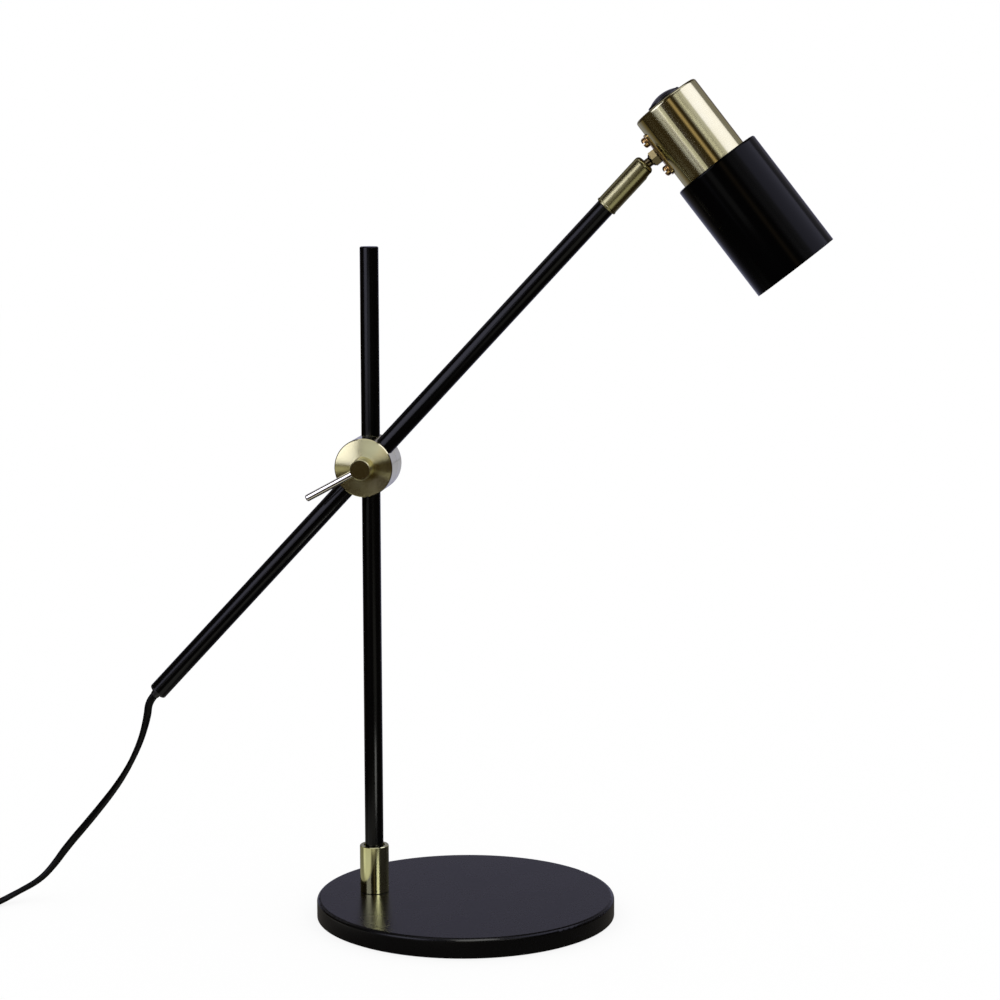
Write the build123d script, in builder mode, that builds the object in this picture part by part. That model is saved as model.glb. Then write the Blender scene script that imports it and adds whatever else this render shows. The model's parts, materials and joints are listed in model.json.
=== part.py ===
"""Desk lamp: a weighted base, an off-centre mast, a clamped arm and a ball-jointed head.

Millimetres, +Z up. The origin is the middle of the base's underside. The mast stands on the -X side,
the head reaches towards +X, and the hub's front face and its clamp lever look towards -Y.
"""
from build123d import *
import math
import os

# Tubes of the mast and the arm
tube_diameter = 12.7
tube_wall = 1.2
tube_fit = 0.05
plug_fit = 0.05

# Base
base_diameter = 205.0
base_height = 14.0
base_edge_radius = 2.5
cover_top = 2.0
cover_wall = 1.6
pad_thickness = 2.0
pad_recess = 1.0
weight_clearance = 0.3

# Bolt that holds the collar from below
bolt_diameter = 8.0
bolt_clearance = 0.25
bolt_head_across = 13.0
bolt_head_height = 5.0
bolt_washer_diameter = 16.0
bolt_washer_thickness = 1.2
bolt_recess_diameter = 19.0
bolt_recess_depth = 6.6
bolt_grip = 7.0

# Collar
mast_offset = 64.0
collar_diameter = 20.0
collar_height = 33.0
collar_floor = 9.0
collar_mouth_diameter = 14.6
collar_mouth_depth = 4.0
collar_edge = 0.4
set_screw_diameter = 4.0
set_screw_height = 23.5
set_screw_recess = 0.5
set_screw_socket = 2.0
set_screw_socket_depth = 1.4

# Mast
mast_top = 459.5
mast_cap_thickness = 2.0
mast_cap_edge = 1.0
mast_cap_spigot = 9.0

# Hub: the rear half holds the mast, the front half turns with the arm
hub_height = 312.9
hub_diameter = 39.5
hub_edge = 0.6
mast_to_arm = 17.5
hub_front_cover = 9.0
hub_rear_cover = 8.0
hub_gap = 0.5
mast_seat = 6.2
arm_seat = 12.5
hub_cavity_diameter = 24.0
hub_cavity_front = 3.5
lead_passage = 10.0
friction_washer_diameter = 32.0
friction_washer_thickness = 1.6
washer_play = 0.05
washer_side_play = 0.2

# Clamp screw and lever
clamp_diameter = 6.0
clamp_fit = 0.05
clamp_clearance = 0.2
clamp_reach = 11.0
boss_diameter = 14.0
boss_length = 10.2
boss_edge = 0.6
thrust_washer_diameter = 15.0
thrust_washer_thickness = 0.75
lever_diameter = 4.7
lever_length = 43.1
lever_root = 2.4
lever_angle = 208.5
lever_end_radius = 1.2

# Arm
arm_angle = 47.1
arm_lower_reach = 215.0
arm_upper_reach = 246.4
bush_rim = 1.8
bush_rim_edge = 1.0
bush_spigot = 9.0
bush_nozzle = 3.2
bush_nozzle_diameter = 6.8
bush_tip_diameter = 6.0
lead_diameter = 4.0
lead_fit = 0.1
lead_detour = 6.8
lead_detour_half = 5.5
lead_detour_start = 13.0
lead_bend = 6.0

# Swivel at the arm's upper end
nipple_inside = 16.0
nipple_outside = 7.0
nipple_bore = 6.5
nipple_nut_across = 11.0
nipple_nut_height = 3.0
swivel_play = 0.2
socket_diameter = 14.4
socket_overlap = 9.2
socket_web = 2.0
socket_edge = 0.4
sleeve_bead = 0.3
sleeve_bead_length = 1.8
swivel_fit = 0.08

# Ball joint
pivot_from_tube = 25.0
ball_diameter = 10.6
ball_fit = 0.08
cap_joint = 13.0
cap_spigot = 4.5
cap_nose = 4.6
cap_shoulder = 2.7
lip_diameter = 9.2
mouth_diameter = 10.4
slot_clearance = 0.2
seat_front = 3.6
seat_length = 5.4
seat_bore = 5.2
seat_spring_height = 2.3
seat_spring_thickness = 0.5
seat_screw_length = 3.0
stack_play = 0.05
neck_diameter = 6.2
stem_bore = 4.4
stem_flare_start = 7.4
stem_flare_length = 1.2
stem_flare_diameter = 8.8
stem_hex_across = 10.0
stem_hex_start = 9.3
stem_reach = 15.0
stem_thread_diameter = 7.9
stem_hole_clearance = 0.15
rest_tilt = -9.1

# Head: distances along its axis are measured from the cup's rear face
cup_diameter = 47.5
cup_length = 52.7
cup_wall = 1.2
cup_rear_wall = 1.5
cup_edge_radius = 2.0
stem_station = 25.1

# Saddle plate outside the cup and bracket inside it
saddle_length = 31.2
saddle_width = 15.0
saddle_thickness = 1.4
saddle_corner = 2.5
saddle_gap = 0.02
saddle_screw_spacing = 22.8
saddle_screw_diameter = 3.0
saddle_screw_head = 7.0
saddle_screw_head_height = 3.2
saddle_screw_slot = 1.2
saddle_screw_clearance = 0.15
saddle_nut_across = 5.5
saddle_nut_height = 2.4
bracket_width = 12.0
bracket_flat = 2.0
bracket_thickness = 1.5
bracket_end_margin = 3.7
bracket_reach_past_axis = 5.0
stem_nut_across = 12.0
stem_nut_height = 3.6

# Lamp holder, shade ring and bulb
holder_offset = 1.4
holder_base_diameter = 24.0
holder_flange_diameter = 33.0
holder_flange_thickness = 2.0
holder_skirt_diameter = 27.8
holder_skirt_length = 16.0
holder_bore_diameter = 18.8
holder_floor = 6.0
holder_screw_diameter = 4.0
holder_screw_head = 7.0
holder_screw_head_height = 2.2
holder_screw_grip = 5.0
shell_wall = 1.1
shell_length = 15.0
shell_fit = 0.05
contact_diameter = 6.0
contact_height = 1.4
shade_ring_diameter = 40.0
shade_ring_height = 5.5
shade_ring_flange = 1.6
shade_ring_grip_diameter = 35.0
shade_ring_grips = 12
bulb_cap_diameter = 13.8
bulb_cap_length = 18.0
bulb_tip_diameter = 5.0
bulb_tip_height = 1.6
bulb_neck_diameter = 16.4
bulb_diameter = 40.0
bulb_glass = 1.2
bulb_centre = 27.0
bulb_tangent_angle = 63.4

# Shade
shade_diameter = 60.5
shade_length = 85.0
shade_wall = 1.0
shade_rear_wall = 1.2
shade_edge_radius = 1.5
shade_hole_clearance = 0.2

# Push switch in the cup's rear end
bezel_diameter = 24.4
bezel_height = 2.2
bezel_edge = 1.0
barrel_diameter = 22.4
barrel_length = 16.0
barrel_floor = 2.0
barrel_clearance = 0.1
button_diameter = 20.5
button_fit = 0.15
button_height = 4.9
button_side = 2.4
button_depth = 9.0
switch_nut_across = 27.0
switch_nut_height = 3.0
wire_diameter = 1.8
wire_spacing = 7.0
wire_from_axis = 8.0
head_lead_turn = 7.75
head_lead_bend = 5.0

# Cord: flat twin flex, taken as round at its full width
cord_diameter = 5.0
cord_clearance = 0.3
cord_first_run = 6.0
cord_last_run = 14.0
cord_run_share = 0.45
coil_centre = (-378.4, -73.7)
coil_outer_radius = 42.8
coil_step = 6.6
coil_half_turns_in = 8
coil_layer = 6.6
coil_last_radius = 54.0
coil_samples = 800
tie_thickness = 1.2
tie_width = 9.0
tie_gap = 0.3
tie_sag = 1.3
tie_corner = 3.0

# Plug
plug_thickness = 14.0
plug_width = 26.0
plug_neck_width = 12.0
plug_shoulder = 12.0
plug_length = 36.0
plug_edge = 2.0
tail_length = 24.0
tail_tip_diameter = 6.4
tail_root_diameter = 10.0
tail_ribs = 6
tail_groove = 0.6
tail_overlap = 2.0
pin_diameter = 4.0
pin_length = 19.0
pin_spacing = 18.6
pin_root = 5.0
pin_tip = 1.2

os.makedirs("parts", exist_ok=True)

tube_radius = tube_diameter / 2
tube_bore = tube_diameter - 2 * tube_wall
mast_x = -mast_offset
arm_y = -mast_to_arm

# Directions in the arm's plane
toward_viewer = Vector(0, -1, 0)
arm_turn = math.radians(arm_angle)
stem_turn = math.radians(arm_angle + rest_tilt)
arm_direction = Vector(math.cos(arm_turn), 0, math.sin(arm_turn))
arm_under = Vector(math.sin(arm_turn), 0, -math.cos(arm_turn))
stem_direction = Vector(math.cos(stem_turn), 0, math.sin(stem_turn))
head_direction = Vector(math.sin(stem_turn), 0, -math.cos(stem_turn))

# Places in the arm's plane
cup_radius = cup_diameter / 2
arm_centre = Vector(mast_x, arm_y, hub_height)
pivot = arm_centre + arm_direction * (arm_upper_reach + pivot_from_tube)
head_axis_distance = stem_reach + cup_radius
cup_rear = pivot + stem_direction * head_axis_distance - head_direction * stem_station
holder_rear = cup_rear + stem_direction * holder_offset


def level(height):
    """Horizontal plane over the middle of the base."""
    return Plane.XY.offset(height)


def mast_level(height):
    """Horizontal plane centred on the mast."""
    return Plane(origin=(mast_x, 0, height), x_dir=(1, 0, 0), z_dir=(0, 0, 1))


def hub_plane(y):
    """Plane across the hub's axis, looking at the viewer, with its Y upwards."""
    return Plane(origin=(mast_x, y, hub_height), x_dir=(1, 0, 0), z_dir=toward_viewer)


def arm_plane(distance):
    """Plane across the arm at a distance from the hub's axis."""
    return Plane(origin=arm_centre + arm_direction * distance, x_dir=toward_viewer, z_dir=arm_direction)


def stem_plane(distance, station=stem_station):
    """Plane across the ball's stem, or across a line beside it at another station of the head."""
    origin = pivot + stem_direction * distance + head_direction * (station - stem_station)
    return Plane(origin=origin, x_dir=toward_viewer, z_dir=stem_direction)


def head_plane(station):
    """Plane across the head's axis, with its X towards the arm."""
    return Plane(origin=cup_rear + head_direction * station, x_dir=-stem_direction, z_dir=head_direction)


def holder_plane(station):
    """Plane across the lamp holder's axis, which the shade shares, a little further from the arm than the head's."""
    return Plane(origin=holder_rear + head_direction * station, x_dir=-stem_direction, z_dir=head_direction)


def section(origin, radial, axis):
    """Plane through an axis: X is the radius and Y the distance along the axis."""
    return Plane(origin=origin, x_dir=radial, z_dir=radial.cross(axis))


arm_section = section(arm_centre, arm_under, arm_direction)
socket_section = section(pivot, arm_under, arm_direction)
stem_section = section(pivot, head_direction, stem_direction)
head_section = section(cup_rear, -stem_direction, head_direction)
holder_section = section(holder_rear, -stem_direction, head_direction)
collar_section = section(Vector(mast_x, 0, base_height), Vector(1, 0, 0), Vector(0, 0, 1))


def rod(plane, diameter, length, mode=Mode.ADD):
    """Round bar, or hole, that starts on a plane and runs along its normal."""
    with BuildSketch(plane) as outline:
        Circle(diameter / 2)
    extrude(outline.sketch, amount=length, mode=mode)


def pipe(plane, outer, inner, length):
    """Round tube that starts on a plane and runs along its normal."""
    with BuildSketch(plane) as outline:
        Circle(outer / 2)
        Circle(inner / 2, mode=Mode.SUBTRACT)
    extrude(outline.sketch, amount=length)


def hexagon(plane, across, length, bore=0.0):
    """Hexagon bar on a plane, with an optional bore."""
    with BuildSketch(plane) as outline:
        RegularPolygon(across / 2, 6, major_radius=False)
        if bore > 0:
            Circle(bore / 2, mode=Mode.SUBTRACT)
    extrude(outline.sketch, amount=length)


def turned(plane, points, mode=Mode.ADD):
    """Solid turned about a section plane's Y axis from (radius, distance) points."""
    with BuildSketch(plane) as outline:
        with BuildLine():
            Polyline(*points, close=True)
        make_face()
    revolve(outline.sketch, axis=Axis(plane.origin, plane.y_dir), mode=mode)


def sphere_height(radius, distance):
    """Height on a sphere at a distance from its axis."""
    return math.sqrt(radius**2 - distance**2)


def finish(builder, name):
    """Names a finished piece and writes it."""
    builder.part.label = name
    export_step(builder.part, f"parts/{name}.step")


# Base: pressed cover, cast weight and soft pad
cover_rim = pad_thickness - pad_recess
cover_inner_diameter = base_diameter - 2 * cover_wall
weight_diameter = cover_inner_diameter - 2 * weight_clearance
weight_top = base_height - cover_top
bolt_hole = bolt_diameter + 2 * bolt_clearance
recess_top = pad_thickness + bolt_recess_depth
bolt_head_top = recess_top - bolt_washer_thickness

with BuildPart() as base_cover:
    rod(level(cover_rim), base_diameter, base_height - cover_rim)
    fillet(base_cover.faces().sort_by(Axis.Z)[-1].edges(), base_edge_radius)
    rod(level(cover_rim), cover_inner_diameter, weight_top - cover_rim, Mode.SUBTRACT)
    rod(mast_level(cover_rim), bolt_hole, base_height, Mode.SUBTRACT)
finish(base_cover, "base_cover")

with BuildPart() as base_weight:
    rod(level(pad_thickness), weight_diameter, weight_top - pad_thickness)
    rod(mast_level(pad_thickness), bolt_recess_diameter, bolt_recess_depth, Mode.SUBTRACT)
    rod(mast_level(pad_thickness), bolt_hole, base_height, Mode.SUBTRACT)
finish(base_weight, "base_weight")

with BuildPart() as base_pad:
    rod(level(0), weight_diameter, pad_thickness)
    chamfer(base_pad.faces().sort_by(Axis.Z)[0].edges(), weight_clearance)
finish(base_pad, "base_pad")

with BuildPart() as base_bolt:
    hexagon(mast_level(bolt_head_top - bolt_head_height), bolt_head_across, bolt_head_height)
    rod(mast_level(bolt_head_top), bolt_diameter, base_height + bolt_grip - bolt_head_top)
finish(base_bolt, "base_bolt")

with BuildPart() as base_washer:
    pipe(mast_level(bolt_head_top), bolt_washer_diameter, bolt_hole, bolt_washer_thickness)
finish(base_washer, "base_washer")

# Collar with a blind thread below, a bore for the mast and a wider mouth
collar_radius = collar_diameter / 2
collar_bore = tube_diameter + 2 * tube_fit
screw_level = base_height + set_screw_height
set_screw_plane = Plane(origin=(mast_x, 0, screw_level), x_dir=(0, 1, 0), z_dir=(-1, 0, 0))

with BuildPart() as mast_collar:
    turned(
        collar_section,
        [
            (0, 0),
            (collar_radius - collar_edge, 0),
            (collar_radius, collar_edge),
            (collar_radius, collar_height - collar_edge),
            (collar_radius - collar_edge, collar_height),
            (collar_mouth_diameter / 2, collar_height),
            (collar_mouth_diameter / 2, collar_height - collar_mouth_depth),
            (collar_bore / 2, collar_height - collar_mouth_depth),
            (collar_bore / 2, collar_floor),
            (0, collar_floor),
        ],
    )
    rod(mast_level(base_height), bolt_diameter, bolt_grip, Mode.SUBTRACT)
    rod(set_screw_plane, set_screw_diameter, collar_radius, Mode.SUBTRACT)
finish(mast_collar, "mast_collar")

with BuildPart() as collar_set_screw:
    screw_start = tube_radius + tube_fit
    screw_end = collar_radius - set_screw_recess
    rod(set_screw_plane.offset(screw_start), set_screw_diameter, screw_end - screw_start)
    with BuildSketch(set_screw_plane.offset(screw_end)):
        RegularPolygon(set_screw_socket / 2, 6, major_radius=False)
    extrude(amount=-set_screw_socket_depth, mode=Mode.SUBTRACT)
finish(collar_set_screw, "collar_set_screw")

# Mast: two tubes that seat in the hub's rear half, and a plug in the top
mast_foot = base_height + collar_floor
mast_tube_top = mast_top - mast_cap_thickness

with BuildPart() as mast_lower:
    pipe(mast_level(mast_foot), tube_diameter, tube_bore, hub_height - mast_seat - mast_foot)
finish(mast_lower, "mast_lower")

with BuildPart() as mast_upper:
    upper_foot = hub_height + mast_seat
    pipe(mast_level(upper_foot), tube_diameter, tube_bore, mast_tube_top - upper_foot)
finish(mast_upper, "mast_upper")

with BuildPart() as mast_cap:
    rod(mast_level(mast_tube_top), tube_diameter, mast_cap_thickness)
    fillet(mast_cap.faces().sort_by(Axis.Z)[-1].edges(), mast_cap_edge)
    rod(mast_level(mast_tube_top), tube_bore - 2 * plug_fit, -mast_cap_spigot)
finish(mast_cap, "mast_cap")

# Hub: a drum across the mast in two halves
hub_radius = hub_diameter / 2
socket_bore = tube_diameter + 2 * tube_fit
hub_front_y = arm_y - hub_front_cover
hub_split = -mast_to_arm / 2
front_back_y = hub_split - hub_gap / 2
rear_front_y = hub_split + hub_gap / 2
recess_depth = (friction_washer_thickness + 2 * washer_play - hub_gap) / 2
recess_diameter = friction_washer_diameter + 2 * washer_side_play
clamp_hole = clamp_diameter + 2 * clamp_clearance

with BuildPart() as hub_rear:
    rod(hub_plane(rear_front_y), hub_diameter, -hub_rear_cover + rear_front_y)
    chamfer(hub_rear.faces().sort_by(Axis.Y)[-1].edges(), hub_edge)
    rod(hub_plane(rear_front_y), recess_diameter, -recess_depth, Mode.SUBTRACT)
    rod(hub_plane(rear_front_y), clamp_diameter + 2 * clamp_fit, -clamp_reach, Mode.SUBTRACT)
    rod(mast_level(hub_height + mast_seat), socket_bore, hub_radius, Mode.SUBTRACT)
    rod(mast_level(hub_height - mast_seat), socket_bore, -hub_radius, Mode.SUBTRACT)
finish(hub_rear, "hub_rear")

with BuildPart() as friction_washer:
    washer_back = hub_split + friction_washer_thickness / 2
    pipe(hub_plane(washer_back), friction_washer_diameter, clamp_hole, friction_washer_thickness)
finish(friction_washer, "friction_washer")

with BuildPart() as hub_front:
    rod(hub_plane(front_back_y), hub_diameter, front_back_y - hub_front_y)
    chamfer(hub_front.faces().sort_by(Axis.Y)[0].edges(), hub_edge)
    cavity_depth = front_back_y - hub_front_y - hub_cavity_front
    rod(hub_plane(front_back_y), recess_diameter, recess_depth, Mode.SUBTRACT)
    rod(hub_plane(front_back_y), hub_cavity_diameter, cavity_depth, Mode.SUBTRACT)
    rod(hub_plane(front_back_y), clamp_hole, hub_diameter, Mode.SUBTRACT)
    rod(arm_plane(arm_seat), socket_bore, hub_radius, Mode.SUBTRACT)
    rod(arm_plane(-arm_seat), socket_bore, -hub_radius, Mode.SUBTRACT)
    rod(arm_plane(-arm_seat), lead_passage, 2 * arm_seat, Mode.SUBTRACT)
finish(hub_front, "hub_front")

# Clamp screw with its lever
boss_back_y = hub_front_y - thrust_washer_thickness - washer_play
lever_y = boss_back_y - boss_length / 2
lever_turn = math.radians(lever_angle)
lever_direction = Vector(math.cos(lever_turn), 0, math.sin(lever_turn))
lever_centre = Vector(mast_x, lever_y, hub_height)


def lever_plane(distance):
    """Plane across the lever at a distance from the clamp's axis."""
    return Plane(origin=lever_centre + lever_direction * distance, x_dir=toward_viewer, z_dir=lever_direction)


with BuildPart() as clamp_screw:
    rod(hub_plane(boss_back_y), boss_diameter, boss_length)
    chamfer(clamp_screw.faces().sort_by(Axis.Y)[0].edges(), boss_edge)
    rod(hub_plane(boss_back_y), clamp_diameter, boss_back_y - rear_front_y - clamp_reach + boss_edge)
    rod(lever_plane(lever_root), lever_diameter, boss_diameter, Mode.SUBTRACT)
finish(clamp_screw, "clamp_screw")

with BuildPart() as thrust_washer:
    pipe(hub_plane(hub_front_y - washer_play), thrust_washer_diameter, clamp_hole, thrust_washer_thickness)
finish(thrust_washer, "thrust_washer")

with BuildPart() as lever_rod:
    rod(lever_plane(lever_root), lever_diameter, lever_length - lever_root)
    lever_end = lever_rod.faces().sort_by(Axis(lever_centre, lever_direction))[-1]
    fillet(lever_end.edges(), lever_end_radius)
finish(lever_rod, "lever_rod")

# Arm tubes, with a bush where the cord goes in
bush_bore = lead_diameter + 2 * lead_fit
bush_face = arm_lower_reach + bush_rim
cord_exit = bush_face + bush_nozzle

with BuildPart() as arm_lower:
    pipe(arm_plane(-arm_lower_reach), tube_diameter, tube_bore, arm_lower_reach - arm_seat)
finish(arm_lower, "arm_lower")

with BuildPart() as arm_upper:
    pipe(arm_plane(arm_seat), tube_diameter, tube_bore, arm_upper_reach - arm_seat)
finish(arm_upper, "arm_upper")

with BuildPart() as cord_bush:
    rod(arm_plane(-arm_lower_reach), tube_diameter, -bush_rim)
    bush_end = cord_bush.faces().sort_by(Axis(arm_centre, arm_direction))[0]
    fillet(bush_end.edges(), bush_rim_edge)
    rod(arm_plane(-arm_lower_reach), tube_bore - 2 * plug_fit, bush_spigot)
    turned(
        arm_section,
        [
            (0, -bush_face),
            (bush_nozzle_diameter / 2, -bush_face),
            (bush_tip_diameter / 2, -cord_exit),
            (0, -cord_exit),
        ],
    )
    rod(arm_plane(-cord_exit), bush_bore, cord_exit, Mode.SUBTRACT)
finish(cord_bush, "cord_bush")

# Lead inside the arm: straight, with a detour round the clamp screw
lead_end = arm_upper_reach + pivot_from_tube - ball_diameter / 2 - ball_fit
lead_points = [
    (0, -cord_exit),
    (0, -lead_detour_start),
    (-lead_detour, -lead_detour_half),
    (-lead_detour, lead_detour_half),
    (0, lead_detour_start),
    (0, lead_end),
]

with BuildPart() as arm_lead:
    with BuildLine(arm_section) as lead_path:
        FilletPolyline(*lead_points, radius=lead_bend)
    with BuildSketch(arm_plane(-cord_exit)):
        Circle(lead_diameter / 2)
    sweep(path=lead_path.wire())
finish(arm_lead, "arm_lead")

# Swivel: a hollow nipple in the tube's end, held in the sleeve by a nut
nipple_diameter = tube_bore - 2 * plug_fit
web_start = arm_upper_reach + swivel_play
web_end = web_start + socket_web
nut_start = web_end + swivel_play
sleeve_start = arm_upper_reach - socket_overlap
sleeve_end = arm_upper_reach + pivot_from_tube - cap_joint
socket_radius = socket_diameter / 2
sleeve_bore_radius = tube_radius + swivel_fit
bead_radius = socket_radius + sleeve_bead
bead_end = sleeve_start + sleeve_bead_length

with BuildPart() as arm_nipple:
    nipple_start = arm_upper_reach - nipple_inside
    pipe(arm_plane(nipple_start), nipple_diameter, nipple_bore, nipple_inside + nipple_outside)
finish(arm_nipple, "arm_nipple")

with BuildPart() as nipple_nut:
    hexagon(arm_plane(nut_start), nipple_nut_across, nipple_nut_height, nipple_diameter)
finish(nipple_nut, "nipple_nut")

with BuildPart() as socket_sleeve:
    turned(
        arm_section,
        [
            (sleeve_bore_radius, sleeve_start),
            (bead_radius - socket_edge, sleeve_start),
            (bead_radius, sleeve_start + socket_edge),
            (bead_radius, bead_end - socket_edge),
            (socket_radius, bead_end),
            (socket_radius, sleeve_end),
            (sleeve_bore_radius, sleeve_end),
            (sleeve_bore_radius, web_end),
            (nipple_diameter / 2 + swivel_fit, web_end),
            (nipple_diameter / 2 + swivel_fit, web_start),
            (sleeve_bore_radius, web_start),
        ],
    )
finish(socket_sleeve, "socket_sleeve")

# Ball socket: a screwed cap with a round seat, a lip and a slot for the stem on its lower side
ball_radius = ball_diameter / 2
seat_radius = ball_radius + ball_fit
lip_radius = lip_diameter / 2
slot_width = neck_diameter + 2 * slot_clearance
slot_plane = Plane(origin=pivot, x_dir=arm_direction, z_dir=arm_under)

with BuildPart() as socket_cap:
    with BuildSketch(socket_section):
        with BuildLine():
            Polyline(
                (seat_radius, 0),
                (seat_radius, -cap_joint - cap_spigot),
                (sleeve_bore_radius - plug_fit, -cap_joint - cap_spigot),
                (sleeve_bore_radius - plug_fit, -cap_joint),
                (socket_radius, -cap_joint),
                (socket_radius, cap_nose - cap_shoulder),
            )
            TangentArc(
                (socket_radius, cap_nose - cap_shoulder),
                (mouth_diameter / 2, cap_nose),
                tangent=(0, 1),
            )
            Line((mouth_diameter / 2, cap_nose), (lip_radius, sphere_height(seat_radius, lip_radius)))
            lip_angle = math.degrees(math.acos(lip_radius / seat_radius))
            CenterArc((0, 0), seat_radius, 0, lip_angle)
        make_face()
    revolve(axis=Axis(pivot, arm_direction))
    with BuildSketch(slot_plane):
        Circle(slot_width / 2)
        with Locations((socket_diameter / 2, 0)):
            Rectangle(socket_diameter, slot_width)
    extrude(amount=socket_diameter, mode=Mode.SUBTRACT)
finish(socket_cap, "socket_cap")

seat_back = -seat_front - seat_length
spring_back = seat_back - stack_play - seat_spring_height
ring_radius = seat_radius - plug_fit

with BuildPart() as ball_seat:
    turned(
        socket_section,
        [
            (seat_bore / 2, seat_back),
            (ring_radius, seat_back),
            (ring_radius, -seat_front),
            (seat_bore / 2, -seat_front),
        ],
    )
    with Locations(pivot):
        Sphere(seat_radius, mode=Mode.SUBTRACT)
finish(ball_seat, "ball_seat")

with BuildPart() as seat_spring:
    turned(
        socket_section,
        [
            (seat_bore / 2 + seat_spring_thickness, seat_back - stack_play - seat_spring_thickness),
            (seat_bore / 2 + seat_spring_thickness, seat_back - stack_play),
            (ring_radius, spring_back + seat_spring_thickness),
            (ring_radius, spring_back),
        ],
    )
finish(seat_spring, "seat_spring")

with BuildPart() as seat_screw:
    screw_front = pivot_from_tube + arm_upper_reach + spring_back - stack_play
    pipe(arm_plane(screw_front), 2 * ring_radius, seat_bore, -seat_screw_length)
finish(seat_screw, "seat_screw")

# Ball and stem, with a hexagon for a spanner and a hollow thread that enters the cup
saddle_face = stem_reach - saddle_gap - saddle_thickness
hex_end = saddle_face - stack_play
bracket_face = stem_reach + cup_wall + bracket_flat
stem_end = bracket_face + stem_nut_height + stack_play
stem_hole = stem_thread_diameter + 2 * stem_hole_clearance
screw_hole = saddle_screw_diameter + 2 * saddle_screw_clearance
screw_stations = [stem_station - saddle_screw_spacing / 2, stem_station + saddle_screw_spacing / 2]

with BuildPart() as ball_stem:
    bore_radius = stem_bore / 2
    neck_radius = neck_diameter / 2
    bore_angle = math.degrees(math.acos(bore_radius / ball_radius))
    neck_angle = math.degrees(math.acos(neck_radius / ball_radius))
    with BuildSketch(stem_section):
        with BuildLine():
            CenterArc((0, 0), ball_radius, -bore_angle, bore_angle + neck_angle)
            Polyline(
                (neck_radius, sphere_height(ball_radius, neck_radius)),
                (neck_radius, stem_flare_start),
                (stem_flare_diameter / 2, stem_flare_start + stem_flare_length),
                (stem_flare_diameter / 2, stem_hex_start),
                (bore_radius, stem_hex_start),
                (bore_radius, -sphere_height(ball_radius, bore_radius)),
            )
        make_face()
    revolve(axis=Axis(pivot, stem_direction))
    hexagon(stem_plane(stem_hex_start), stem_hex_across, hex_end - stem_hex_start, stem_bore)
    pipe(stem_plane(hex_end), stem_thread_diameter, stem_bore, stem_end - hex_end)
finish(ball_stem, "ball_stem")

with BuildPart() as stem_nut:
    hexagon(stem_plane(bracket_face), stem_nut_across, stem_nut_height, stem_thread_diameter)
finish(stem_nut, "stem_nut")

# Saddle plate, curved to the cup
with BuildPart() as saddle_plate:
    saddle_inner = cup_diameter + 2 * saddle_gap
    pipe(head_plane(0), saddle_inner + 2 * saddle_thickness, saddle_inner, cup_length)
    with BuildSketch(stem_plane(0)):
        RectangleRounded(saddle_width, saddle_length, saddle_corner)
    extrude(amount=head_axis_distance, mode=Mode.INTERSECT)
    rod(stem_plane(0), stem_hole, head_axis_distance, Mode.SUBTRACT)
    for station in screw_stations:
        rod(stem_plane(0, station), screw_hole, head_axis_distance, Mode.SUBTRACT)
finish(saddle_plate, "saddle_plate")

# Bracket inside the cup: one leg along the wall, one across the axis for the lamp holder
bracket_rear = screw_stations[0] - bracket_end_margin
bracket_front = screw_stations[1] + bracket_end_margin + bracket_thickness
bracket_inner = head_axis_distance - bracket_face

with BuildPart() as holder_bracket:
    with BuildSketch(head_section):
        with BuildLine():
            Polyline(
                (cup_radius, bracket_rear),
                (cup_radius, bracket_front),
                (-bracket_reach_past_axis, bracket_front),
                (-bracket_reach_past_axis, bracket_front - bracket_thickness),
                (bracket_inner, bracket_front - bracket_thickness),
                (bracket_inner, bracket_rear),
                close=True,
            )
        make_face()
    extrude(amount=bracket_width / 2, both=True)
    rod(head_plane(0), cup_diameter - 2 * cup_wall - 2 * plug_fit, cup_length, Mode.INTERSECT)
    rod(stem_plane(0), stem_hole, head_axis_distance, Mode.SUBTRACT)
    for station in screw_stations:
        rod(stem_plane(0, station), screw_hole, bracket_face, Mode.SUBTRACT)
    rod(holder_plane(0), holder_screw_diameter, cup_length, Mode.SUBTRACT)
finish(holder_bracket, "holder_bracket")

# Slotted pan-head screws through plate, cup and bracket, with their nuts
with BuildPart() as saddle_screws:
    head_top = hex_end - saddle_screw_head_height
    screw_tip = bracket_face + saddle_nut_height + stack_play
    for station in screw_stations:
        rod(stem_plane(hex_end, station), saddle_screw_diameter, screw_tip - hex_end)
        rod(stem_plane(hex_end, station), saddle_screw_head, -saddle_screw_head_height)
    head_rims = saddle_screws.faces().filter_by(GeomType.PLANE).sort_by(Axis(pivot, stem_direction))[:2]
    fillet(head_rims.edges(), saddle_screw_head_height / 2)
    for station in screw_stations:
        with BuildSketch(stem_plane(head_top, station)):
            Rectangle(2 * saddle_screw_head, saddle_screw_slot)
        extrude(amount=saddle_screw_head_height / 2, mode=Mode.SUBTRACT)
finish(saddle_screws, "saddle_screws")

with BuildPart() as saddle_nuts:
    for station in screw_stations:
        nut_plane = stem_plane(bracket_face, station)
        hexagon(nut_plane, saddle_nut_across, saddle_nut_height, saddle_screw_diameter)
finish(saddle_nuts, "saddle_nuts")

# Cup: a spun brass can with a rounded rear edge
barrel_hole = barrel_diameter + 2 * barrel_clearance

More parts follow.
